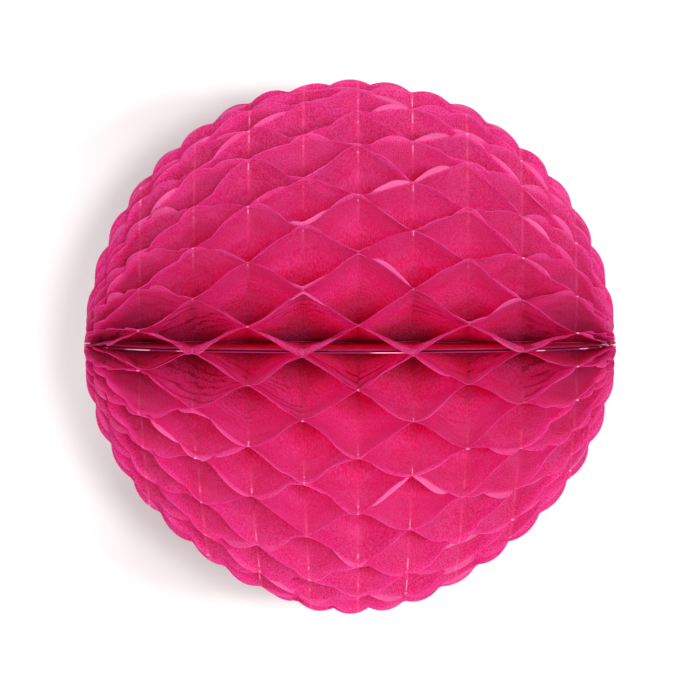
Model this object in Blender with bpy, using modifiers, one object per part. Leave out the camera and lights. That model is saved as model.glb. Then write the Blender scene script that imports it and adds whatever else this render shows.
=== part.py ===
"""Paper honeycomb ball with scalloped tissue sheets.

Forty-eight half-disc tissue sheets stand round a spine like the pages of a book opened right round.
Each sheet is glued to the sheet before it along one set of lines and to the sheet after it along the
lines in between, so the open fan pulls every sheet into a zigzag and the gaps into diamond cells.
Two card covers close the fan where its first and last sheets meet.

Frame: +X runs along the spine, the covers meet on the -Y side, +Z is up, the origin is the ball's centre.
Fan angles start at the covers (-Y) and grow through +Z, +Y and -Z back to the covers.
"""

import math

import bmesh
import bpy
from mathutils import Matrix, Vector

MM = 0.001

# The fan
BALL_RADIUS = 150 * MM
SHEET_COUNT = 48
UPPER_LEAN = math.radians(6.5)  # the upper sheets lean this far towards the covers at most
TISSUE_THICKNESS = 0.15 * MM
GLUE_GAP = 0.3 * MM
SPINE_EDGE = 4.2 * MM  # how far each sheet's straight edge stands off the spine's centre line

# The cut edge of a sheet: round scallops, with half a scallop at each end of the straight edge
SCALLOP_ANGLE = math.radians(9)
SCALLOPS_PER_SHEET = 20
SCALLOP_DEPTH = 3.2 * MM
SCALLOP_STEPS = 3

# The glue lines run outwards from the spine, square to it
GLUE_PITCH = 30.5 * MM
GLUE_CENTRE = 4.5 * MM
GLUE_LINES_EACH_SIDE = 4

# Card covers, and the adhesive pads that hold them shut
COVER_THICKNESS = 0.6 * MM
COVER_RADIUS = 142 * MM
COVER_SPINE_EDGE = 12 * MM
COVER_ARC_STEPS = 48
PAD_THICKNESS = 0.3 * MM
PAD_LENGTH = 24 * MM
PAD_WIDTH = 9 * MM
PAD_RADIUS = 130 * MM
PAD_NAMES = {"right": 35, "middle": 90, "left": 145}  # degrees round the cover from the +X end
COVER_INNER_FACE = PAD_THICKNESS / 2 + GLUE_GAP
COVER_OUTER_FACE = COVER_INNER_FACE + COVER_THICKNESS

# The spine: a strip rolled into a tube, with a knotted thread through it
BINDING_RADIUS = 3.6 * MM
BINDING_WALL = 0.6 * MM
BINDING_LENGTH = 286 * MM
BINDING_SLIT = math.radians(40)
BINDING_STEPS = 20
THREAD_RADIUS = 0.5 * MM
KNOT_RADIUS = 1.8 * MM
KNOT_CENTRE = 146.5 * MM
KNOT_LENGTH_SHARE = 0.8

# Sheets nearest the covers stand off the spine's centre plane by the covers' thickness
STAND_OFF = COVER_OUTER_FACE + GLUE_GAP / 2
CLEAR_OF_NEIGHBOUR = (GLUE_GAP + TISSUE_THICKNESS) / 2

TISSUE_PINK = (0.68, 0.026, 0.145, 1)
CARD_PINK = (0.60, 0.05, 0.16, 1)
THREAD_WHITE = (0.80, 0.77, 0.74, 1)
TAPE_WHITE = (0.85, 0.83, 0.80, 1)
SMOOTH_ANGLE = math.radians(40)


def clear_scene():
    for old in list(bpy.data.objects):
        bpy.data.objects.remove(old)


def new_collection(name):
    made = bpy.data.collections.new(name)
    bpy.context.scene.collection.children.link(made)
    return made


def material(name, colour, roughness):
    made = bpy.data.materials.new(name)
    made.use_nodes = True
    shader = made.node_tree.nodes["Principled BSDF"]
    shader.inputs["Base Color"].default_value = colour
    shader.inputs["Roughness"].default_value = roughness
    shader.inputs["Metallic"].default_value = 0.0
    return made


def add_object(name, data, finish, collection):
    made = bpy.data.objects.new(name, data)
    data.materials.append(finish)
    collection.objects.link(made)
    return made


def mesh_from(bm, name):
    mesh = bpy.data.meshes.new(name)
    bm.to_mesh(mesh)
    bm.free()
    return mesh


def scallop_arc():
    """(centre's distance from the origin, radius) of the circle that one scallop's edge follows."""
    valley = BALL_RADIUS - SCALLOP_DEPTH
    across = math.cos(SCALLOP_ANGLE / 2)
    squared_chord = valley**2 - 2 * valley * BALL_RADIUS * across + BALL_RADIUS**2
    radius = squared_chord / (2 * (BALL_RADIUS - valley * across))
    return BALL_RADIUS - radius, radius


def scallop_point(number, share):
    """A point on scallop number's edge; share runs from -1 to 1 between its two valleys."""
    centre, radius = scallop_arc()
    valley = BALL_RADIUS - SCALLOP_DEPTH
    half_height = valley * math.sin(SCALLOP_ANGLE / 2)
    turn = share * math.asin(half_height / radius)
    along = centre + radius * math.cos(turn)
    across = radius * math.sin(turn)
    middle = number * SCALLOP_ANGLE
    return (
        along * math.cos(middle) - across * math.sin(middle),
        along * math.sin(middle) + across * math.cos(middle),
    )


def sheet_outline():
    """The flat cut shape, as (distance along the spine, distance out from it) points."""
    centre, radius = scallop_arc()
    end = centre + math.sqrt(radius**2 - SPINE_EDGE**2)
    shares = [2 * step / SCALLOP_STEPS - 1 for step in range(SCALLOP_STEPS)]
    outline = [(end, SPINE_EDGE)]
    for number in range(1, SCALLOPS_PER_SHEET):
        outline += [scallop_point(number, share) for share in shares]
    outline.append(scallop_point(SCALLOPS_PER_SHEET, -1))
    outline.append((-end, SPINE_EDGE))
    return outline


def flat_sheet():
    """The flat cut shape as triangles, with an edge along every glue line."""
    bm = bmesh.new()
    bm.faces.new([bm.verts.new((x, -out, 0)) for x, out in sheet_outline()])
    for line in range(-GLUE_LINES_EACH_SIDE, GLUE_LINES_EACH_SIDE + 1):
        bmesh.ops.bisect_plane(
            bm,
            geom=bm.verts[:] + bm.edges[:] + bm.faces[:],
            dist=0.01 * MM,
            plane_co=(GLUE_CENTRE + line * GLUE_PITCH, 0, 0),
            plane_no=(1, 0, 0),
        )
    bmesh.ops.triangulate(bm, faces=bm.faces[:])
    bmesh.ops.recalc_face_normals(bm, faces=bm.faces[:])
    return bm


def zigzag(x):
    """1 on the centre glue line, -1 on the lines next to it, and straight in between."""
    place = abs((x - GLUE_CENTRE) / GLUE_PITCH) % 2
    return 1 - 2 * min(place, 2 - place)


def fan_angle(turns):
    """The angle round the spine at that share of the fan, from 0 at the upper cover to 1 at the lower."""
    even = 2 * math.pi * turns
    return even - UPPER_LEAN * max(0.0, math.sin(even)) ** 1.5


def sheet_angles(number):
    """(the angle at which sheet number stands, the angle from there to the glue on each side of it)."""
    before = fan_angle((number - 1) / SHEET_COUNT)
    after = fan_angle(number / SHEET_COUNT)
    return (before + after) / 2, (after - before) / 2


def stand_off(turns):
    """How far the fan's planes miss the centre line, at that share of the fan."""
    return STAND_OFF * (1 - 2 * turns)


def zigzag_height(number, x, out):
    """How far a point of sheet number leaves the sheet's own plane, towards the next sheet."""
    half = sheet_angles(number)[1]
    bend = zigzag(x) if number % 2 else -zigzag(x)
    before = stand_off((number - 1) / SHEET_COUNT)
    after = stand_off(number / SHEET_COUNT)
    rise = out * math.sin(half)
    if bend > 0:
        limit = after - CLEAR_OF_NEIGHBOUR + rise
    else:
        limit = before + CLEAR_OF_NEIGHBOUR - rise
    own = stand_off((number - 0.5) / SHEET_COUNT)
    return own + abs(bend) * (limit / math.cos(half) - own)


def tissue_sheet(number, finish, collection):
    bm = flat_sheet()
    for vertex in bm.verts:
        vertex.co.z = zigzag_height(number, vertex.co.x, -vertex.co.y)
    name = f"tissue_sheet_{number:02d}"
    sheet = add_object(name, mesh_from(bm, name), finish, collection)
    sheet.rotation_euler.x = -sheet_angles(number)[0]
    shell = sheet.modifiers.new("tissue", "SOLIDIFY")
    shell.thickness = TISSUE_THICKNESS
    shell.offset = 0
    return sheet


def cover_board(name, side, finish, collection):
    """A half-disc of card; side is 1 above the plane where the covers meet and -1 below it."""
    start = math.asin(COVER_SPINE_EDGE / COVER_RADIUS)
    step = (math.pi - 2 * start) / COVER_ARC_STEPS
    turns = [start + number * step for number in range(COVER_ARC_STEPS + 1)]
    outline = bpy.data.curves.new(name, "CURVE")
    outline.dimensions = "2D"
    outline.fill_mode = "BOTH"
    outline.extrude = COVER_THICKNESS / 2
    spline = outline.splines.new("POLY")
    spline.points.add(len(turns) - 1)
    for point, turn in zip(spline.points, turns):
        point.co = (COVER_RADIUS * math.cos(turn), -COVER_RADIUS * math.sin(turn), 0, 1)
    spline.use_cyclic_u = True
    board = add_object(name, outline, finish, collection)
    board.location.z = side * (COVER_INNER_FACE + COVER_THICKNESS / 2)
    return board


def adhesive_pad(name, degrees, finish, collection):
    """A flat double-sided pad between the covers, lying along their round edge."""
    bm = bmesh.new()
    bmesh.ops.create_cube(bm, size=1)
    bmesh.ops.scale(bm, vec=(PAD_WIDTH, PAD_LENGTH, PAD_THICKNESS), verts=bm.verts[:])
    pad = add_object(name, mesh_from(bm, name), finish, collection)
    turn = math.radians(-degrees)
    pad.location = (PAD_RADIUS * math.cos(turn), PAD_RADIUS * math.sin(turn), 0)
    pad.rotation_euler.z = turn
    return pad


def spine_binding(finish, collection):
    """A strip rolled round the spine, open along a slit behind the covers."""
    radius = BINDING_RADIUS - BINDING_WALL / 2
    step = (2 * math.pi - BINDING_SLIT) / BINDING_STEPS
    bm = bmesh.new()
    arc = []
    for number in range(BINDING_STEPS + 1):
        turn = math.pi + BINDING_SLIT / 2 + number * step
        side = (-BINDING_LENGTH / 2, radius * math.cos(turn), radius * math.sin(turn))
        arc.append(bm.verts.new(side))
    edges = [bm.edges.new(pair) for pair in zip(arc, arc[1:])]
    made = bmesh.ops.extrude_edge_only(bm, edges=edges)["geom"]
    moved = [item for item in made if isinstance(item, bmesh.types.BMVert)]
    bmesh.ops.translate(bm, vec=(BINDING_LENGTH, 0, 0), verts=moved)
    bmesh.ops.recalc_face_normals(bm, faces=bm.faces[:])
    binding = add_object("spine_binding", mesh_from(bm, "spine_binding"), finish, collection)
    shell = binding.modifiers.new("strip", "SOLIDIFY")
    shell.thickness = BINDING_WALL
    shell.offset = 0
    return binding


def spine_thread(finish, collection):
    """The thread through the binding, from knot to knot."""
    reach = KNOT_CENTRE - KNOT_RADIUS * KNOT_LENGTH_SHARE - GLUE_GAP
    line = bpy.data.curves.new("spine_thread", "CURVE")
    line.dimensions = "3D"
    line.bevel_depth = THREAD_RADIUS
    line.bevel_resolution = 2
    line.use_fill_caps = True
    spline = line.splines.new("POLY")
    spline.points.add(1)
    spline.points[0].co = (-reach, 0, 0, 1)
    spline.points[1].co = (reach, 0, 0, 1)
    return add_object("spine_thread", line, finish, collection)


def thread_knot(name, side, finish, collection):
    """A round knot that keeps the thread from pulling back through the binding."""
    bm = bmesh.new()
    bmesh.ops.create_uvsphere(bm, u_segments=12, v_segments=8, radius=KNOT_RADIUS)
    bmesh.ops.rotate(bm, matrix=Matrix.Rotation(math.pi / 2, 3, "Y"), verts=bm.verts[:])
    bmesh.ops.scale(bm, vec=(KNOT_LENGTH_SHARE, 1, 1), verts=bm.verts[:])
    mesh = mesh_from(bm, name)
    mesh.shade_smooth()
    knot = add_object(name, mesh, finish, collection)
    knot.location = Vector((side * KNOT_CENTRE, 0, 0))
    return knot


def build():
    clear_scene()
    ball = new_collection("honeycomb_ball")
    tissue = material("tissue", TISSUE_PINK, 0.75)
    card = material("cover_card", CARD_PINK, 0.6)
    thread = material("thread", THREAD_WHITE, 0.8)
    tape = material("adhesive_tape", TAPE_WHITE, 0.5)
    for number in range(1, SHEET_COUNT + 1):
        tissue_sheet(number, tissue, ball)
    cover_board("cover_board_upper", 1, card, ball)
    cover_board("cover_board_lower", -1, card, ball)
    for place, degrees in PAD_NAMES.items():
        adhesive_pad(f"adhesive_pad_{place}", degrees, tape, ball)
    spine_binding(card, ball)
    spine_thread(thread, ball)
    thread_knot("thread_knot_left", -1, thread, ball)
    thread_knot("thread_knot_right", 1, thread, ball)


build()
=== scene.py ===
"""Looks of the paper honeycomb ball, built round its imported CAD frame.

Each tissue sheet of the frame gives way to a thin, creased one that follows the same fan. A sheet is
worked out from its flat cut: a half-disc with a scalloped edge. Every point of the cut keeps its place
along the spine and its distance from it, and only the angle at which it stands round the spine changes.
"""

import math

import bmesh
import bpy
import numpy as np
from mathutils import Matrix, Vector


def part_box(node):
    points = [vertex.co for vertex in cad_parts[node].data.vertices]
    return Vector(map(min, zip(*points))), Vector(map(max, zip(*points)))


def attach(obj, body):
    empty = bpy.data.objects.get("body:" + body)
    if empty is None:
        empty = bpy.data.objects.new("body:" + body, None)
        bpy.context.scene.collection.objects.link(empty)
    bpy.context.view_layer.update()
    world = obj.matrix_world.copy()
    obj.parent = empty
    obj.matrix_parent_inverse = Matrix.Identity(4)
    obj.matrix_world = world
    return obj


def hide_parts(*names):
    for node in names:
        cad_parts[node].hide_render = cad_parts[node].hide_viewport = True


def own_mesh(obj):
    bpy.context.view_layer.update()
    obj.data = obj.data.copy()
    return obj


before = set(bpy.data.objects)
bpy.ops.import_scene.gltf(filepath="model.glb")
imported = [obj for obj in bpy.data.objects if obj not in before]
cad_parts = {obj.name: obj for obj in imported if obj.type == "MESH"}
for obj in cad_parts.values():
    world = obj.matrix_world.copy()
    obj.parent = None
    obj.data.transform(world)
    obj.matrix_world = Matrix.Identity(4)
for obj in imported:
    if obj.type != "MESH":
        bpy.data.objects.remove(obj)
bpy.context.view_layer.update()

MM = 0.001
TURN = 2 * math.pi

# The ball, from the frame
SHEET_NAMES = sorted(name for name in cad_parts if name.startswith("tissue_sheet"))
SHEET_COUNT = len(SHEET_NAMES)
RADIUS = round(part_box(SHEET_NAMES[0])[1].x / MM) * MM
COVER_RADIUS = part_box("cover_board_upper")[1].x
COVER_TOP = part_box("cover_board_upper")[1].z
SPINE_EDGE = 4.2 * MM

# The cut, as part.py has it
SCALLOP_COUNT = 20
SCALLOP_ANGLE = math.radians(180 / SCALLOP_COUNT)
SCALLOP_DEPTH = 3.2 * MM
LIP_DEPTH = 4.3 * MM  # from the tip of a scallop to the line along which its lip folds
LIP_FOLD = 1.6 * MM
GLUE_PITCH = 30.5 * MM
GLUE_CENTRE = 4.5 * MM
GLUE_LINES = range(-4, 5)
UPPER_LEAN = math.radians(6.5)

# The points of the cut
COLUMNS_PER_SCALLOP = 12
ROW_DEPTHS = (0, 0.8, 1.7, 2.7, 3.9, 5.5, 8, 12, 18, 26, 36)  # mm in from the edge
ROWS_BEYOND = 7
BESIDE_GLUE = 1.9 * MM  # where the cut has points on each side of a glue line

# The tissue
TISSUE_THICKNESS = 0.08 * MM
TISSUE_GAP = 0.10 * MM  # from a glue plane to the middle of each sheet glued there
GLUE_WIDTH = 1.1 * MM
GLUE_THICKNESS = 0.06 * MM
GLUE_STEPS = 15
LIP_SCATTER = 12  # how far the lips of level sheets turn either way, in degrees
LIP_SCATTER_STEEP = 20  # how much more the lips of upright sheets do

# Where the glued surfaces next to the seam are: off the covers, closing to a slit past their edge
COVER_STAND_OFF = COVER_TOP + 0.15 * MM
SEAM_SLIT = 0.02 * MM
COVER_FADE = 5 * MM

# Glued surfaces that stand a little off their even place in the fan, in degrees
OWN_LEAN = {
    3: 0.8,
    5: 1.2,
    6: -0.3,
    7: 2.2,
    8: -0.8,
    9: 1.0,
    41: -0.9,
    42: 0.5,
    44: 0.5,
    45: -0.4,
    46: -0.2,
}

# How far the glued surfaces next to the seam hang, in degrees, most of all a little left of the middle
SEAM_SAG = {0: 1.1, 1: 1.5, 2: 0.6, 46: 0.3, 47: 0.5, 48: 1.1}
SAG_MIDDLE = -20 * MM
SAG_HALF_WIDTH = 25 * MM
SAG_FADE = 90 * MM

# Waves: (seed, length, height). Those of the glued surfaces are angles, those of the paper lengths.
GLUE_WAVES = ((0, 130 * MM, math.radians(0.3)), (500, 60 * MM, math.radians(0.2)))
CRINKLES = ((4000, 22 * MM, 0.22 * MM), (5000, 9 * MM, 0.07 * MM))

# How the ball differs from a true one, as shares of its size
DRAWN_TOGETHER = 0.14  # the glue lines at the bottom, at the rim
BOTTOM_LONGER = 0.012
FLANKS_NARROWER = 0.012
TOP_SHORTER = 0.004

# The knots in the binding thread
KNOT_STEPS = 96
KNOT_LOOP = 0.24  # the thread's own radius, as a share of the knot's

# How many papers a ray of light may meet: it takes many to fill the bottom of the cells
LIGHT_BOUNCES = 40

# How many sheets on each side of the seam are creased by its pull
CREASED_SHEETS = 3

# Scallops whose lip is folded over, (sheet, scallop), and the turn of the lip in degrees
FOLDED_LIPS = {
    (7, 8): 75,
    (9, 8): 50,
    (9, 6): 45,
    (6, 5): 50,
    (10, 12): 40,
    (8, 15): 45,
    (45, 15): -50,
    (44, 9): -70,
    (44, 8): -70,
}


# Small helpers


def smooth(value):
    """0 below 0, 1 above 1, and an S-curve in between."""
    held = np.clip(value, 0, 1)
    return held * held * (3 - 2 * held)


def ripples(seed, x, out, length, amount):
    """A smooth random height of about that amount, in waves of about that length."""
    draw = np.random.default_rng(seed)
    total = np.zeros_like(x)
    for _ in range(6):
        turn, phase = draw.uniform(0, TURN, 2)
        wave = TURN / (length * draw.uniform(0.7, 1.4))
        total += np.sin((x * math.cos(turn) + out * math.sin(turn)) * wave + phase)
    return amount * total / math.sqrt(3)


def link(obj):
    bpy.context.scene.collection.objects.link(obj)
    return obj


# The flat cut


def rim_reach(turn):
    """How far the scalloped edge is from the ball's centre, at that angle from the spine."""
    valley = RADIUS - SCALLOP_DEPTH
    across = math.cos(SCALLOP_ANGLE / 2)
    arc = (valley**2 - 2 * valley * RADIUS * across + RADIUS**2) / (2 * (RADIUS - valley * across))
    centre = RADIUS - arc
    off = turn - np.round(turn / SCALLOP_ANGLE) * SCALLOP_ANGLE
    return centre * np.cos(off) + np.sqrt(arc**2 - (centre * np.sin(off)) ** 2)


def cut_rows():
    """Shares of the way from the edge to the spine at which the cut has a row of points."""
    near = np.array(ROW_DEPTHS) * MM / RADIUS
    return np.concatenate([near, np.linspace(near[-1], 1, ROWS_BEYOND + 1)[1:]])


def cut_beside_glue(bm):
    """Give the cut a row of points along each glue line and on both sides of it."""
    for line in GLUE_LINES:
        for side in (-BESIDE_GLUE, 0, BESIDE_GLUE):
            bmesh.ops.bisect_plane(
                bm,
                geom=bm.verts[:] + bm.edges[:] + bm.faces[:],
                dist=0.02 * MM,
                plane_co=(GLUE_CENTRE + line * GLUE_PITCH + side, 0, 0),
                plane_no=(1, 0, 0),
            )


def flat_cut():
    """The flat cut as a mesh in the XY plane, x along the spine and y out from it."""
    columns = SCALLOP_COUNT * COLUMNS_PER_SCALLOP
    start = SPINE_EDGE / RADIUS
    turns = np.linspace(start, math.pi - start, columns + 1)
    inner = np.array([SPINE_EDGE / math.sin(turn) for turn in turns])
    outer = rim_reach(turns)
    inner = np.minimum(inner, outer - 0.05 * MM)
    bm = bmesh.new()
    rows = []
    for share in cut_rows():
        reach = outer - (outer - inner) * share
        points = zip(reach * np.cos(turns), reach * np.sin(turns))
        rows.append([bm.verts.new((x, y, 0)) for x, y in points])
    for outside, inside in zip(rows, rows[1:]):
        for n in range(columns):
            bm.faces.new((outside[n], outside[n + 1], inside[n + 1], inside[n]))
    cut_beside_glue(bm)
    mesh = bpy.data.meshes.new("flat_cut")
    bm.to_mesh(mesh)
    bm.free()
    return mesh


class Places:
    """Points of the flat cut, and what each of them knows about itself."""

    def __init__(self, x, out):
        self.x, self.out = x, out
        self.turn = np.arctan2(out, x)
        self.reach = np.hypot(x, out)
        self.from_rim = np.maximum(rim_reach(self.turn) - self.reach, 0)
        self.scallop = np.round(self.turn / SCALLOP_ANGLE).astype(int)
        self.place = (x - GLUE_CENTRE) / GLUE_PITCH
        self.panel = np.floor(self.place).astype(int)


def mesh_places(mesh):
    """What the points of a flat mesh know about themselves."""
    flat = np.zeros(len(mesh.vertices) * 3)
    mesh.vertices.foreach_get("co", flat)
    x, out = flat.reshape(-1, 3).T[:2]
    return Places(x, out)


# The open fan


def fan_angle(turns):
    """The angle round the spine at that share of the fan, from 0 at the upper cover to 1 at the lower."""
    even = TURN * turns
    return even - UPPER_LEAN * max(0.0, math.sin(even)) ** 1.5


def past_cover(cut):
    """0 over the covers, and 1 from a little way past their edge."""
    return smooth((cut.reach - COVER_RADIUS) / COVER_FADE)


def sag(number, cut):
    """How far the papers hang below their even places near the seam, as an angle."""
    if number not in SEAM_SAG:
        return 0
    middle = 1 - 0.5 * smooth((np.abs(cut.x - SAG_MIDDLE) - SAG_HALF_WIDTH) / SAG_FADE)
    on_cover = number in (0, SHEET_COUNT)
    free = past_cover(cut) if on_cover else smooth(cut.reach / RADIUS)
    return math.radians(SEAM_SAG[number]) * middle * free


def glue_plane(number, cut):
    """The angle of the surface in which sheets number and number + 1 are glued, at each point."""
    turns = number / SHEET_COUNT
    past = past_cover(cut)
    height = COVER_STAND_OFF * (1 - past) + SEAM_SLIT * past
    seam = np.arcsin(np.minimum(height / cut.out, 1))
    angle = fan_angle(turns) + (1 - 2 * turns) * seam - sag(number, cut)
    angle = angle + math.radians(OWN_LEAN.get(number, 0)) * smooth(cut.out / RADIUS)
    if 0 < number < SHEET_COUNT:
        grip = min(1, number / 3, (SHEET_COUNT - number) / 3)
        for seed, length, amount in GLUE_WAVES:
            angle = angle + grip * ripples(seed + number, cut.x, cut.out, length, amount)
    return angle


def sheet_angle(number):
    """The angle round the spine of the middle of that sheet."""
    return fan_angle((number - 0.5) / SHEET_COUNT)


def zigzag(number, cut):
    """Where the sheet is between its two glue planes: 0 on the one before it, 1 on the one after."""
    draw = np.random.default_rng(1000 + number)
    steep = abs(math.sin(sheet_angle(number)))
    panels = len(GLUE_LINES) + 5
    droop = 0.3 if sheet_angle(number) > math.pi else 0.1
    roundness = np.clip(draw.uniform(-0.2, 0.4, panels) + droop + 0.3 * steep, 0.05, 1)
    skew = draw.uniform(-0.22, 0.22, panels)
    index = cut.panel - GLUE_LINES[0] + 2
    rises_with_x = (cut.panel + number) % 2 == 0
    share = cut.place - cut.panel
    share = np.where(rises_with_x, share, 1 - share)
    bond = GLUE_WIDTH / GLUE_PITCH / 2
    share = np.clip((share - bond) / (1 - 2 * bond), 0, 1)
    share = share + skew[index] * share * (1 - share)
    s_curve = smooth(share)
    return share + (s_curve - share) * roundness[index]


def lips(number, cut):
    """The scallops' lips, each folded along the line between its two valleys.

    Returns how far each point draws in, how high it stands off the sheet, and how much of a lip it is.
    """
    draw = np.random.default_rng(3000 + number)
    steep = abs(math.sin(sheet_angle(number)))
    turns = draw.normal(0, LIP_SCATTER + LIP_SCATTER_STEEP * steep, SCALLOP_COUNT + 1)
    for (sheet, scallop), turn in FOLDED_LIPS.items():
        if sheet == number:
            turns[scallop] = turn
    off = np.abs(cut.turn / SCALLOP_ANGLE - cut.scallop)
    bend = np.radians(turns[cut.scallop]) * smooth((0.5 - off) / 0.12)
    bend = np.where(np.abs(bend) < 1e-3, 1e-3, bend)
    past = np.maximum(cut.reach - (RADIUS - LIP_DEPTH), 0)
    radius = LIP_FOLD / bend
    folded = np.minimum(past, LIP_FOLD)
    straight = past - folded
    along = radius * np.sin(folded / radius) + straight * np.cos(bend)
    stand = radius * (1 - np.cos(folded / radius)) + straight * np.sin(bend)
    return past - along, stand, np.abs(bend) * smooth(past / LIP_FOLD)


def pull_together(angle):
    """How strongly the sheets there are drawn in along the spine: 1 at the bottom, 0 above."""
    below = np.degrees(TURN - angle)
    return smooth((below - 12) / 64) * (1 - smooth((below - 110) / 50))


def in_ball(cut, reach_share, angle):
    """Where points of the cut are in the open ball, once each stands at its angle round the spine."""
    drawn = pull_together(angle) * (cut.out / RADIUS) ** 3
    x = GLUE_CENTRE + (cut.x * reach_share - GLUE_CENTRE) * (1 - DRAWN_TOGETHER * drawn)
    flank = (2 * cut.x * cut.out / cut.reach**2) ** 2
    narrow = 1 - FLANKS_NARROWER * flank * smooth(pull_together(angle) / 0.5)
    narrow = narrow - TOP_SHORTER * np.maximum(np.sin(angle), 0)
    x, out = x * narrow, cut.out * reach_share * (1 + BOTTOM_LONGER * drawn) * narrow
    return np.stack([x, -out * np.cos(angle), out * np.sin(angle)], axis=1)


def sheet_points(number, cut):
    """The places of the cut's points in the open ball."""
    before, after = glue_plane(number - 1, cut), glue_plane(number, cut)
    share = zigzag(number, cut)
    keep_off = np.minimum(TISSUE_GAP / (cut.out * (after - before)), 0.4)
    share = keep_off + (1 - 2 * keep_off) * share
    room = cut.out * (after - before) * np.minimum(share, 1 - share)
    drawn_in, stand, _ = lips(number, cut)
    crinkle = sum(ripples(seed + number, cut.x, cut.out, *wave) for seed, *wave in CRINKLES)
    height = crinkle * smooth(room / (2.5 * MM))
    gap_after = 2 * cut.out * (after - before) * (1 - share)
    gap_before = 2 * cut.out * (after - before) * share
    stand = np.clip(stand, -0.8 * gap_before, 0.8 * gap_after)
    angle = before + (after - before) * share + (height + stand) / cut.out
    return in_ball(cut, 1 - drawn_in / cut.reach, angle)


def fold_flat(piece):
    """Give the piece a mesh of its own.
    """
    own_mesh(piece)


def tissue_sheet(number, flat_mesh, finish):
    """One sheet of tissue in the open ball."""
    name = f"tissue_{number:02d}"
    cut = mesh_places(flat_mesh)
    mesh = flat_mesh.copy()
    mesh.name = name
    mesh.vertices.foreach_set("co", sheet_points(number, cut).ravel())
    flat = mesh.attributes.new("flat", "FLOAT_VECTOR", "POINT")
    on_cut = np.stack([cut.x, cut.out, np.full_like(cut.x, number)], axis=1)
    flat.data.foreach_set("vector", on_cut.ravel())
    for label, values in (("from_rim", cut.from_rim), ("lip", lips(number, cut)[2])):
        mesh.attributes.new(label, "FLOAT", "POINT").data.foreach_set("value", values)
    mesh.shade_smooth()
    mesh.materials.append(finish)
    sheet = link(bpy.data.objects.new(name, mesh))
    shell = sheet.modifiers.new("thickness", "SOLIDIFY")
    shell.thickness = TISSUE_THICKNESS
    shell.offset = 0
    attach(sheet, f"sheet_{number:02d}")
    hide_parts(f"tissue_sheet_{number:02d}")
    fold_flat(sheet)


def glue_film(bm, number, middle, draw):
    """Add the film along one glue line, and return where its outer end is."""
    end = math.sqrt(RADIUS**2 - middle**2)
    rim = float(rim_reach(math.atan2(end, middle)))
    end = math.sqrt(rim**2 - middle**2) - 0.9 * MM
    outs = np.linspace(SPINE_EDGE + 4 * MM, end, GLUE_STEPS + 1)
    half = GLUE_WIDTH / 2 * draw.uniform(0.6, 1.1, GLUE_STEPS + 1)
    half[-1] *= 0.5
    edges = Places(np.concatenate([middle - half, middle + half]), np.concatenate([outs, outs]))
    points = in_ball(edges, 1, glue_plane(number, edges))
    verts = [bm.verts.new(point) for point in points]
    left, right = verts[:len(outs)], verts[len(outs):]
    for n in range(GLUE_STEPS):
        bm.faces.new((left[n], left[n + 1], right[n + 1], right[n]))
    return (Vector(points[GLUE_STEPS]) + Vector(points[-1])) / 2


def glue_bead(bm, tip, draw):
    """Add the drop of glue that some lines end in."""
    size = draw.uniform(0.35, 0.6) * MM
    bead = bmesh.ops.create_icosphere(bm, subdivisions=2, radius=size)["verts"]
    bmesh.ops.scale(bm, vec=(draw.uniform(1.0, 2.2), 1, 1), verts=bead)
    bmesh.ops.translate(bm, vec=tip, verts=bead)


def glue_lines(number, finish):
    """The glue between a sheet and the next: a film along each line, and a bead at the end of some."""
    draw = np.random.default_rng(6000 + number)
    bm = bmesh.new()
    for line in GLUE_LINES:
        if (line + number) % 2 == 0:
            continue
        tip = glue_film(bm, number, GLUE_CENTRE + line * GLUE_PITCH, draw)
        if draw.random() < 0.45:
            glue_bead(bm, tip, draw)
    mesh = bpy.data.meshes.new(f"glue_lines_{number:02d}")
    bm.to_mesh(mesh)
    bm.free()
    mesh.shade_smooth()
    mesh.materials.append(finish)
    film = link(bpy.data.objects.new(mesh.name, mesh))
    shell = film.modifiers.new("thickness", "SOLIDIFY")
    shell.thickness = GLUE_THICKNESS
    shell.offset = 0
    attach(film, f"sheet_{number:02d}")
    fold_flat(film)


def thread_knot(side, finish):
    """The end of the binding thread, tied in an overhand knot."""
    node = f"thread_knot_{side}"
    low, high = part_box(node)
    loop = (high.y - low.y) / 2 * KNOT_LOOP
    curve = bpy.data.curves.new(f"knot_{side}", "CURVE")
    curve.dimensions = "3D"
    curve.bevel_depth = loop
    curve.bevel_resolution = 4
    spline = curve.splines.new("POLY")
    spline.points.add(KNOT_STEPS - 1)
    for n in range(KNOT_STEPS):
        turn = TURN * n / KNOT_STEPS
        far = (2 + math.cos(3 * turn)) * loop
        place = (math.sin(3 * turn) * loop, far * math.cos(2 * turn), far * math.sin(2 * turn))
        spline.points[n].co = (*place, 1)
    spline.use_cyclic_u = True
    curve.materials.append(finish)
    tied = link(bpy.data.objects.new(f"knot_{side}", curve))
    tied.location = (low + high) / 2
    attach(tied, "core")
    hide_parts(node)


# Materials

TISSUE_DEEP = (0.982, 0.078, 0.47, 1)
TISSUE_BRIGHT = (0.988, 0.135, 0.56, 1)
TISSUE_LIGHT = (0.98, 0.26, 0.62, 1)
TISSUE_DARK = (0.93, 0.032, 0.28, 1)
TISSUE_FIBRE = (0.95, 0.25, 0.53, 1)
TISSUE_PAINTED_HIGHLIGHT = (0.98, 0.40, 0.72, 1)
TISSUE_ON_GLUE = (0.98, 0.27, 0.66, 1)
CREASE_PAINTED_SHADE = (0.58, 0.014, 0.15, 1)

# Painted light: what the tissue's colour is multiplied by with depth, darker at the rim and brighter deep
# in the cells, which evens out the light that reaches it
RIM_PAINTED_SHADE = (0.90, 0.90, 0.90, 1)
DEEP_PAINTED_LIGHT = (1.006, 1.45, 1.35, 1)
DEEPEST_PAINTED_LIGHT = (1.01, 2.2, 1.45, 1)

SEEN_THROUGH = 0.72  # the share of the light on the tissue that goes through it


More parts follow.
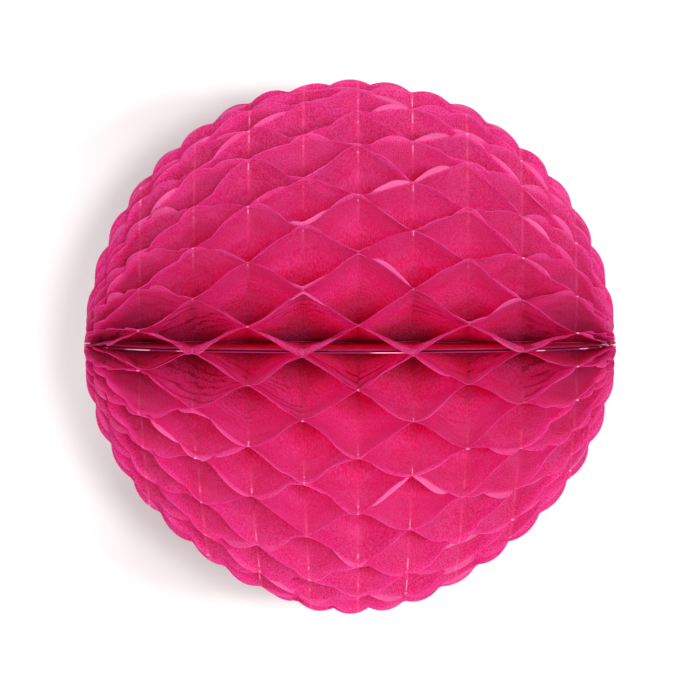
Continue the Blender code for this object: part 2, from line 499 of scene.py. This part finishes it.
class Nodes:
    """Short ways to add and join shader nodes."""

    def __init__(self, name):
        self.material = bpy.data.materials.new(name)
        self.material.use_nodes = True
        self.tree = self.material.node_tree
        self.shader = self.tree.nodes["Principled BSDF"]
        self.output = self.tree.nodes["Material Output"]

    def add(self, kind, inputs=None, **settings):
        node = self.tree.nodes.new(kind)
        for key, value in settings.items():
            setattr(node, key, value)
        for key, value in (inputs or {}).items():
            self.join(value, node.inputs[key])
        return node

    def join(self, value, socket):
        if isinstance(value, bpy.types.NodeSocket):
            self.tree.links.new(value, socket)
        else:
            socket.default_value = value

    def math(self, operation, *values):
        node = self.add("ShaderNodeMath", operation=operation)
        for socket, value in zip(node.inputs, values):
            self.join(value, socket)
        return node.outputs[0]

    def product(self, first, *others):
        for other in others:
            first = self.math("MULTIPLY", first, other)
        return first

    def noise(self, vector, scale, detail=2.0, roughness=0.5):
        inputs = {"Vector": vector, "Scale": scale, "Detail": detail, "Roughness": roughness}
        return self.add("ShaderNodeTexNoise", inputs).outputs["Fac"]

    def band(self, value, low, high):
        """0 at low and below, 1 at high and above."""
        inputs = {"Value": value, "From Min": low, "From Max": high}
        return self.add("ShaderNodeMapRange", inputs, interpolation_type="SMOOTHSTEP").outputs["Result"]

    def blend(self, share, first, second, kind="MIX"):
        node = self.add("ShaderNodeMix", data_type="RGBA", blend_type=kind)
        for index, value in ((0, share), (6, first), (7, second)):
            self.join(value, node.inputs[index])
        return node.outputs[2]

    def stretched(self, vector, scale, turn=0.0):
        inputs = {"Vector": vector, "Scale": scale, "Rotation": (0, 0, turn)}
        return self.add("ShaderNodeMapping", inputs).outputs["Vector"]

    def bump(self, height, distance, strength=1.0, normal=None):
        inputs = {"Height": height, "Distance": distance, "Strength": strength}
        if normal is not None:
            inputs["Normal"] = normal
        return self.add("ShaderNodeBump", inputs).outputs["Normal"]


def seam_creases(n, flat, from_rim):
    """Creases along the edge of the sheets next to the seam, each panel's its own: 1 in a crease."""
    split = n.add("ShaderNodeSeparateXYZ", {"Vector": flat})
    number = split.outputs["Z"]
    from_seam = n.math("MINIMUM", number, n.math("SUBTRACT", SHEET_COUNT + 1, number))
    place = n.math("MULTIPLY", n.math("SUBTRACT", split.outputs["X"], GLUE_CENTRE), 1 / GLUE_PITCH)
    panel = n.add("ShaderNodeCombineXYZ", {"X": n.math("FLOOR", place), "Y": number}).outputs[0]
    draw = n.add("ShaderNodeTexWhiteNoise", {"Vector": panel}, noise_dimensions="2D")
    away = n.math("PINGPONG", n.math("ADD", place, 101), 1)
    bent = n.math("MULTIPLY", n.noise(n.stretched(flat, (30, 12, 2.3)), 1, 1), 2.5 * MM)
    level = n.math("MULTIPLY", n.math("MULTIPLY_ADD", away, 14 * MM, from_rim), from_seam)
    level = n.math("ADD", n.math("MULTIPLY_ADD", draw.outputs["Value"], 20 * MM, level), bent)
    ridge = n.math("SUBTRACT", 1, n.band(n.math("PINGPONG", level, 10 * MM), 1.2 * MM, 4.0 * MM))
    second_draw = n.add("ShaderNodeSeparateColor", {"Color": draw.outputs["Color"]}).outputs[1]
    chosen = n.band(second_draw, 0.3, 0.55)
    patch = n.band(n.noise(n.stretched(flat, (45, 30, 5)), 1, 1), 0.40, 0.50)
    near_rim = n.math("SUBTRACT", 1, n.band(from_rim, 45 * MM, 75 * MM))
    off_rim = n.band(from_rim, 2 * MM, 5 * MM)
    near_seam = n.math("SUBTRACT", 1, n.band(from_seam, 1, CREASED_SHEETS + 1))
    return n.product(ridge, patch, near_rim, off_rim, near_seam, chosen)


def glue_mask(n, spread, line, depth):
    """Where the glue shows through the paper: 1 on a glue line, patchy, and fading into the cell."""
    ragged = n.math("MULTIPLY_ADD", n.noise(spread, 220, 2), 0.7 * MM, -0.35 * MM)
    mask = n.math("ADD", line, ragged)
    mask = n.math("SUBTRACT", 1, n.band(mask, 0.3 * GLUE_WIDTH, 0.9 * GLUE_WIDTH))
    patchy = n.band(n.noise(n.stretched(spread, (60, 160, 1)), 1, 2), 0.38, 0.62)
    patchy = n.math("MULTIPLY_ADD", patchy, 0.65, 0.25)
    return n.product(mask, patchy, n.math("MULTIPLY_ADD", depth, -0.85, 1))


def slanting_wrinkles(n, line, split):
    """Fine wrinkles that run from the glue lines towards the edge, the same way on both sides of each."""
    aslant = n.add("ShaderNodeCombineXYZ", {
        "X": n.math("MULTIPLY", n.math("ADD", line, split.outputs["Y"]), 330),
        "Y": n.math("MULTIPLY", n.math("SUBTRACT", line, split.outputs["Y"]), 45),
        "Z": split.outputs["Z"],
    }).outputs[0]
    return n.noise(aslant, 1, 2, 0.5)


def tissue_colour(n, spread, grain, fibres, fibres_back):
    """The dye, lighter and darker with the mottle, the grain and the fibres."""
    mottle = n.noise(spread, 60, 3, 0.6)
    colour = n.blend(n.band(mottle, 0.3, 0.7), TISSUE_DEEP, TISSUE_BRIGHT)
    colour = n.blend(n.product(n.band(grain, 0.5, 0.62), 0.7), colour, TISSUE_LIGHT)
    colour = n.blend(n.product(n.band(grain, 0.49, 0.37), 0.75), colour, TISSUE_DARK)
    colour = n.blend(n.product(n.band(fibres, 0.55, 0.75), 0.25), colour, TISSUE_FIBRE)
    return n.blend(n.product(n.band(fibres_back, 0.6, 0.8), 0.2), colour, TISSUE_DARK)


def tissue_material():
    """Dyed tissue paper: matte and a little see-through, with fibres, mottle and pale glue lines, and
    painted light: lips and edges painted paler, creases painted darker, and the colour evened out with
    depth.
    """
    n = Nodes("tissue_paper")
    flat = n.add("ShaderNodeAttribute", attribute_name="flat").outputs["Vector"]
    from_rim = n.add("ShaderNodeAttribute", attribute_name="from_rim").outputs["Fac"]
    lip = n.add("ShaderNodeAttribute", attribute_name="lip").outputs["Fac"]
    split = n.add("ShaderNodeSeparateXYZ", {"Vector": flat})
    spread = n.add("ShaderNodeVectorMath", {0: flat, 1: (1, 1, 0.37)}, operation="MULTIPLY").outputs[0]
    line = n.math("SUBTRACT", split.outputs["X"], GLUE_CENTRE - 100 * GLUE_PITCH)
    line = n.math("PINGPONG", line, GLUE_PITCH / 2)

    depth = n.band(from_rim, 8 * MM, 45 * MM)
    grain = n.noise(n.stretched(spread, (1350, 1100, 1)), 1, 2, 0.6)
    deep_grain = n.noise(n.stretched(spread, (1250, 300, 1)), 1, 2, 0.6)
    grain = n.add("ShaderNodeMix", {0: depth, 2: grain, 3: deep_grain}).outputs[0]
    fibres = n.noise(n.stretched(spread, (180, 1400, 1), 0.5), 1, 2, 0.6)
    fibres_back = n.noise(n.stretched(spread, (1400, 220, 1), 0.2), 1, 2, 0.6)
    glue = glue_mask(n, spread, line, depth)
    edge = n.math("SUBTRACT", 1, n.band(from_rim, 0.25 * MM, 0.7 * MM))
    edge = n.product(edge, n.band(n.noise(spread, 30, 2), 0.35, 0.7))
    crease = seam_creases(n, flat, from_rim)

    colour = tissue_colour(n, spread, grain, fibres, fibres_back)
    # Painted light: the colour is darkened at the rim and brightened deeper in the cells, where little
    # light reaches
    painted_light_gain = n.blend(depth, RIM_PAINTED_SHADE, DEEP_PAINTED_LIGHT)
    painted_light_gain = n.blend(n.band(from_rim, 40 * MM, 100 * MM), painted_light_gain, DEEPEST_PAINTED_LIGHT)
    colour = n.blend(1.0, colour, painted_light_gain, "MULTIPLY")
    # Painted highlight: the folded lips are painted paler the further they turn
    colour = n.blend(n.product(n.band(lip, 0.2, 1.1), 0.6), colour, TISSUE_PAINTED_HIGHLIGHT)
    colour = n.blend(n.product(glue, 0.7), colour, TISSUE_ON_GLUE)
    # Painted highlight: a pale line along parts of the cut edge, in the same highlight colour as the lips
    colour = n.blend(n.product(edge, 0.2), colour, TISSUE_PAINTED_HIGHLIGHT)
    # Painted shade: the creases are darkened as the shade along their folds
    colour = n.blend(n.product(crease, 0.85), colour, CREASE_PAINTED_SHADE)

    height = n.math("ADD", n.product(grain, 0.7), n.math("ADD", fibres, fibres_back))
    normal = n.bump(height, 0.06 * MM, 0.8)
    normal = n.bump(n.noise(spread, 240, 3, 0.6), 0.25 * MM, 0.5, normal)
    normal = n.bump(glue, 0.08 * MM, 0.6, normal)
    normal = n.bump(slanting_wrinkles(n, line, split), 0.35 * MM, 0.55, normal)
    normal = n.bump(crease, 0.5 * MM, 0.9, normal)

    n.join(colour, n.shader.inputs["Base Color"])
    n.join(normal, n.shader.inputs["Normal"])
    n.shader.inputs["Roughness"].default_value = 0.8
    n.shader.inputs["Specular IOR Level"].default_value = 0.03
    through = n.add("ShaderNodeBsdfTranslucent", {"Color": colour, "Normal": normal})
    mixed = n.add("ShaderNodeMixShader", {0: SEEN_THROUGH, 1: n.shader.outputs[0], 2: through.outputs[0]})
    n.join(mixed.outputs[0], n.output.inputs["Surface"])
    return n.material


def card_material():
    """Card faced with the same dyed tissue, its core showing here and there along the cut edge, the rest
    of that edge painted dark as shade in the slit between the covers.
    """
    n = Nodes("cover_card")
    place = n.add("ShaderNodeTexCoord").outputs["Object"]
    split = n.add("ShaderNodeSeparateXYZ", {"Vector": place})
    along, out = split.outputs["X"], split.outputs["Y"]
    on_board = n.add("ShaderNodeCombineXYZ", {"X": along, "Y": out}).outputs[0]
    reach = n.add("ShaderNodeVectorMath", {0: on_board}, operation="LENGTH").outputs["Value"]
    cut_edge = n.band(reach, COVER_RADIUS - 0.12 * MM, COVER_RADIUS - 0.02 * MM)
    grain = n.noise(n.stretched(place, (950, 240, 400)), 1, 2, 0.6)
    mottle = n.noise(place, 55, 3)
    face = n.blend(n.band(mottle, 0.3, 0.7), (0.86, 0.045, 0.23, 1), (0.93, 0.060, 0.28, 1))
    face = n.blend(n.product(n.band(grain, 0.5, 0.64), 0.5), face, (0.90, 0.17, 0.38, 1))
    face = n.blend(n.product(n.band(grain, 0.48, 0.36), 0.5), face, (0.45, 0.015, 0.10, 1))
    bare = n.band(n.noise(n.stretched(place, (30, 30, 0)), 1, 1), 0.57, 0.61)
    bare = n.product(bare, n.math("LESS_THAN", split.outputs["Z"], 0))
    # Painted shade: where the core doesn't show, the cut edge is dark crimson, standing in for the shade
    # in the slit between the covers
    core = n.blend(bare, (0.22, 0.010, 0.07, 1), (0.85, 0.32, 0.46, 1))
    n.join(n.blend(cut_edge, face, core), n.shader.inputs["Base Color"])
    n.join(n.bump(grain, 0.05 * MM, 0.6), n.shader.inputs["Normal"])
    n.shader.inputs["Roughness"].default_value = 0.8
    n.shader.inputs["Specular IOR Level"].default_value = 0.1
    return n.material


def plain_fibre_material(name, dark, light, scale, roughness):
    """A matte material with fibres along the spine, for thread, glue and tape."""
    n = Nodes(name)
    place = n.add("ShaderNodeTexCoord").outputs["Object"]
    fibres = n.noise(n.stretched(place, (0.3, 1, 1)), scale, 3, 0.7)
    n.join(n.blend(n.band(fibres, 0.35, 0.65), dark, light), n.shader.inputs["Base Color"])
    n.join(n.bump(fibres, 0.06 * MM, 0.8), n.shader.inputs["Normal"])
    n.shader.inputs["Roughness"].default_value = roughness
    n.shader.inputs["Specular IOR Level"].default_value = 0.15
    return n.material


def dress_frame(card, thread, tape):
    """New materials for the frame's own nodes, by the start of their names."""
    finishes = {"cover": card, "spine_b": card, "spine_t": thread, "thread": thread, "adhesive": tape}
    for name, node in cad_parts.items():
        for start, finish in finishes.items():
            if name.startswith(start):
                node.material_slots[0].material = finish


# The studio

# name, side and height it shines from (0, 0 is the front), strength, spread; the angles in degrees
LAMPS = (
    ("front", 0, 0, 0.4, 30),
    ("key", 8, 2, 1.3, 7),
    ("front_right", 24, 1, 1.27, 6),
    ("front_left", -24, 2.5, 0.4, 12),
    ("front_high", 0, 30, 0.78, 15),
    ("front_higher", 0, 55, 0.62, 15),
    ("front_low", 0, -30, 0.37, 15),
    ("front_lower", 0, -55, 0.30, 15),
    ("right", 80, 10, 0.4, 30),
    ("left", -80, 10, 0.4, 30),
    ("back_right", 125, 10, 0.75, 30),
    ("back_left", -125, 10, 0.75, 30),
    ("back", 180, 15, 1.2, 30),
)
SURROUND_STRENGTH = 0.15
BACKDROP_GREY = 0.70
FLOOR_GREY = 0.95
FLOOR_DROP = 0.25  # how far the floor is below the ball

# The camera
CAMERA_LENS = 600
SENSOR_WIDTH = 36
CAMERA_RISE = math.radians(1.6)
BALL_SHARE = 0.76286  # of the picture's width
MIDDLE_BELOW = 3.1 * MM  # how far the picture's middle is below the ball's


def one_sided(name, colour, roughness):
    """A finish seen from its front only, so that no other view is blocked by the studio."""
    n = Nodes(name)
    n.shader.inputs["Base Color"].default_value = colour
    n.shader.inputs["Roughness"].default_value = roughness
    behind = n.add("ShaderNodeNewGeometry").outputs["Backfacing"]
    clear = n.add("ShaderNodeBsdfTransparent")
    mixed = n.add("ShaderNodeMixShader", {0: behind, 1: n.shader.outputs[0], 2: clear.outputs[0]})
    n.join(mixed.outputs[0], n.output.inputs["Surface"])
    return n.material


def lamp(name, side, height, energy, spread):
    """A soft light that shines on the ball from that side and height."""
    light = bpy.data.lights.new(name, "SUN")
    light.energy = energy
    light.angle = math.radians(spread)
    stand = link(bpy.data.objects.new(name, light))
    turn, rise = math.radians(side), math.radians(height)
    stand.location = (math.sin(turn) * math.cos(rise), -math.cos(turn) * math.cos(rise), math.sin(rise))
    stand.rotation_euler = (-stand.location).to_track_quat("-Z", "Y").to_euler()


def pale_world():
    """Soft white light from all round, with a paler background behind the object."""
    world = bpy.data.worlds.new("studio")
    world.use_nodes = True
    tree = world.node_tree
    surround = tree.nodes["Background"]
    surround.inputs["Color"].default_value = (1, 1, 1, 1)
    surround.inputs["Strength"].default_value = SURROUND_STRENGTH
    shown = tree.nodes.new("ShaderNodeBackground")
    shown.inputs["Color"].default_value = (0.93, 0.93, 0.93, 1)
    path = tree.nodes.new("ShaderNodeLightPath")
    mixed = tree.nodes.new("ShaderNodeMixShader")
    tree.links.new(path.outputs["Is Camera Ray"], mixed.inputs[0])
    tree.links.new(surround.outputs[0], mixed.inputs[1])
    tree.links.new(shown.outputs[0], mixed.inputs[2])
    tree.links.new(mixed.outputs[0], tree.nodes["World Output"].inputs["Surface"])
    bpy.context.scene.world = world


def stage_plane(name, size, location, rotation, grey):
    """A flat sheet of the studio, which isn't part of the object."""
    bpy.ops.mesh.primitive_plane_add(size=size, location=location, rotation=rotation)
    plane = bpy.context.object
    plane.name = name
    plane.data.materials.append(one_sided(name, (grey, grey, grey, 1), 0.9))
    return plane


def studio():
    """The backdrop, the floor and the lights."""
    scene = bpy.context.scene
    scene.view_settings.view_transform = "Standard"
    scene.cycles.max_bounces = LIGHT_BOUNCES
    scene.cycles.diffuse_bounces = LIGHT_BOUNCES
    scene.cycles.transmission_bounces = LIGHT_BOUNCES
    pale_world()
    upright = (math.pi / 2, 0, 0)
    stage_plane("backdrop", 1.2, (0, RADIUS + 0.01, 0), upright, BACKDROP_GREY)
    floor = stage_plane("floor", 30, (0, 0, -RADIUS - FLOOR_DROP), (0, 0, 0), FLOOR_GREY)
    floor.visible_shadow = False  # the low lights shine through it
    for name, side, height, energy, spread in LAMPS:
        lamp(name, side, height, energy, spread)


def photo_camera():
    """A long lens, a little above the seam, that frames the ball a little above the middle."""
    camera = bpy.data.cameras.new("camera")
    camera.lens = CAMERA_LENS
    camera.sensor_width = SENSOR_WIDTH
    eye = link(bpy.data.objects.new("camera", camera))
    distance = 2 * RADIUS / BALL_SHARE * CAMERA_LENS / SENSOR_WIDTH
    target = Vector((0, 0, -MIDDLE_BELOW))
    eye.location = target + distance * Vector((0, -math.cos(CAMERA_RISE), math.sin(CAMERA_RISE)))
    eye.rotation_euler = (target - eye.location).to_track_quat("-Z", "Y").to_euler()
    camera.clip_end = 100
    bpy.context.scene.camera = eye


# The model

photo_camera()
studio()
tissue = tissue_material()
thread = plain_fibre_material("thread_fibres", (0.62, 0.58, 0.54, 1), (0.86, 0.84, 0.80, 1), 1200, 0.85)
adhesive = plain_fibre_material("adhesive_film", (0.72, 0.10, 0.30, 1), (0.85, 0.26, 0.48, 1), 500, 0.7)
flat_mesh = flat_cut()
for number in range(1, SHEET_COUNT + 1):
    tissue_sheet(number, flat_mesh, tissue)
for number in range(1, SHEET_COUNT):
    glue_lines(number, adhesive)
for side in ("left", "right"):
    thread_knot(side, thread)
# Painted shade: the tape between the covers is coloured near-black crimson, so that it shows as the dark
# line of shade along the seam
tape = plain_fibre_material("double_sided_tape_painted_shade", (0.20, 0.012, 0.07, 1), (0.30, 0.02, 0.10, 1), 500, 0.6)
dress_frame(card_material(), thread, tape)
